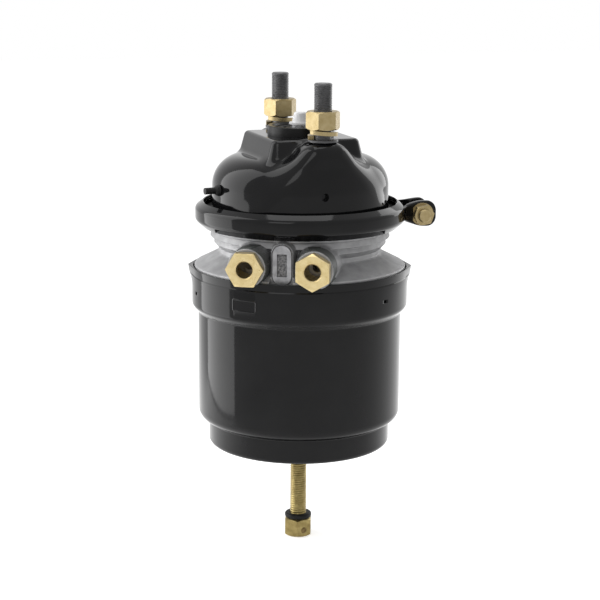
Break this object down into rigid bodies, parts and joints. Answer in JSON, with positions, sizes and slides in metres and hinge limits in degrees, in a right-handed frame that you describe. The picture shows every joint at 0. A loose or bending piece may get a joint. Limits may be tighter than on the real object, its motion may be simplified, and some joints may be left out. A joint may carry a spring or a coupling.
{
  "type": "spring brake actuator",
  "caption": "Combined air brake chamber for a disc brake: a diaphragm service section above a cast port body and a deep drawn spring housing with a release bolt.",
  "frame": {"origin": "centre of the mounting face, on the actuator's axis midway between the studs", "axes": "+Z along the actuator's axis out of the mounting face, towards the brake; Y through both studs; the ports face between -X and -Y"},
  "size_m": [0.2219, 0.2167, 0.431],
  "materials": {
    "service_housing": "gloss black paint",
    "clamp_band": "gloss black paint",
    "spring_housing": "gloss black paint",
    "mounting_studs": "dark phosphate",
    "stud_nuts": "pale yellow zinc plating",
    "spring_washers": "pale yellow zinc plating",
    "clamp_bolt": "pale yellow zinc plating",
    "clamp_nut": "pale yellow zinc plating",
    "service_port_fitting": "pale yellow zinc plating",
    "parking_port_fitting": "pale yellow zinc plating",
    "port_seals": "matt",
    "seal_ring": "satin",
    "push_rod_boot": "matt",
    "boot_retainer": "satin",
    "push_rod": "satin zinc",
    "push_rod_cap": "satin",
    "push_plate": "satin zinc",
    "return_spring": "satin",
    "service_diaphragm": "matt",
    "vent_plug": "matt",
    "intermediate_housing": "matt die cast",
    "breather_cover": "matt",
    "breather_filter": "foam",
    "flange_seal": "matt",
    "lock_ring": "satin",
    "spring_piston": "as cast",
    "piston_seal": "greased",
    "piston_guide_ring": "smooth",
    "piston_tube": "ground",
    "tube_end_pad": "satin",
    "tube_seal": "matt",
    "tube_guide_bush": "smooth",
    "power_spring": "coated",
    "spring_seat": "satin",
    "release_bush": "satin",
    "release_spindle": "olive zinc plating",
    "release_nut": "olive zinc plating",
    "release_pin": "bare",
    "release_seal_ring": "matt",
    "thrust_washer": "satin"
  },
  "bodies": {
    "actuator_body": {"service_housing": "service_housing", "clamp_band": "clamp_band", "spring_housing": "spring_housing", "mounting_studs": "mounting_studs", "stud_nuts": "stud_nuts", "spring_washers": "spring_washers", "clamp_bolt": "clamp_bolt", "clamp_nut": "clamp_nut", "service_port_fitting": "service_port_fitting", "parking_port_fitting": "parking_port_fitting", "port_seals": "port_seals", "seal_ring": "seal_ring", "push_rod_boot": "push_rod_boot", "boot_retainer": "boot_retainer", "return_spring": "return_spring", "service_diaphragm": "service_diaphragm", "vent_plug": "vent_plug", "intermediate_housing": "intermediate_housing", "breather_cover": "breather_cover", "breather_filter": "breather_filter", "flange_seal": "flange_seal", "lock_ring": "lock_ring", "tube_seal": "tube_seal", "tube_guide_bush": "tube_guide_bush", "power_spring": "power_spring", "spring_seat": "spring_seat", "release_bush": "release_bush"},
    "piston_assembly": {"spring_piston": "spring_piston", "piston_seal": "piston_seal", "piston_guide_ring": "piston_guide_ring", "piston_tube": "piston_tube", "tube_end_pad": "tube_end_pad", "thrust_washer": "thrust_washer"},
    "release_bolt": {"release_spindle": "release_spindle", "release_nut": "release_nut", "release_pin": "release_pin", "release_seal_ring": "release_seal_ring"},
    "push_rod_assembly": {"push_rod": "push_rod", "push_rod_cap": "push_rod_cap", "push_plate": "push_plate"}
  },
  "joints": [
    {"name": "piston_stroke", "type": "slide", "parent": "actuator_body", "child": "piston_assembly", "axis": [0, 0, 1], "range_m": [0, 0.057], "deforming": ["power_spring"]},
    {"name": "release_bolt_turn", "type": "hinge", "parent": "piston_assembly", "child": "release_bolt", "pos_m": [0, 0, -0.3], "axis": [0, 0, 1], "range_deg": [0, 10260]},
    {"name": "push_rod_stroke", "type": "slide", "parent": "actuator_body", "child": "push_rod_assembly", "axis": [0, 0, 1], "range_m": [0, 0.057], "deforming": ["return_spring", "service_diaphragm"]}
  ],
  "couplings": [
    {"joint": "release_bolt_turn", "follows": "piston_stroke", "rad_per_m": 3141.6},
    {"joint": "push_rod_stroke", "follows": "piston_stroke", "ratio": 1}
  ]
}
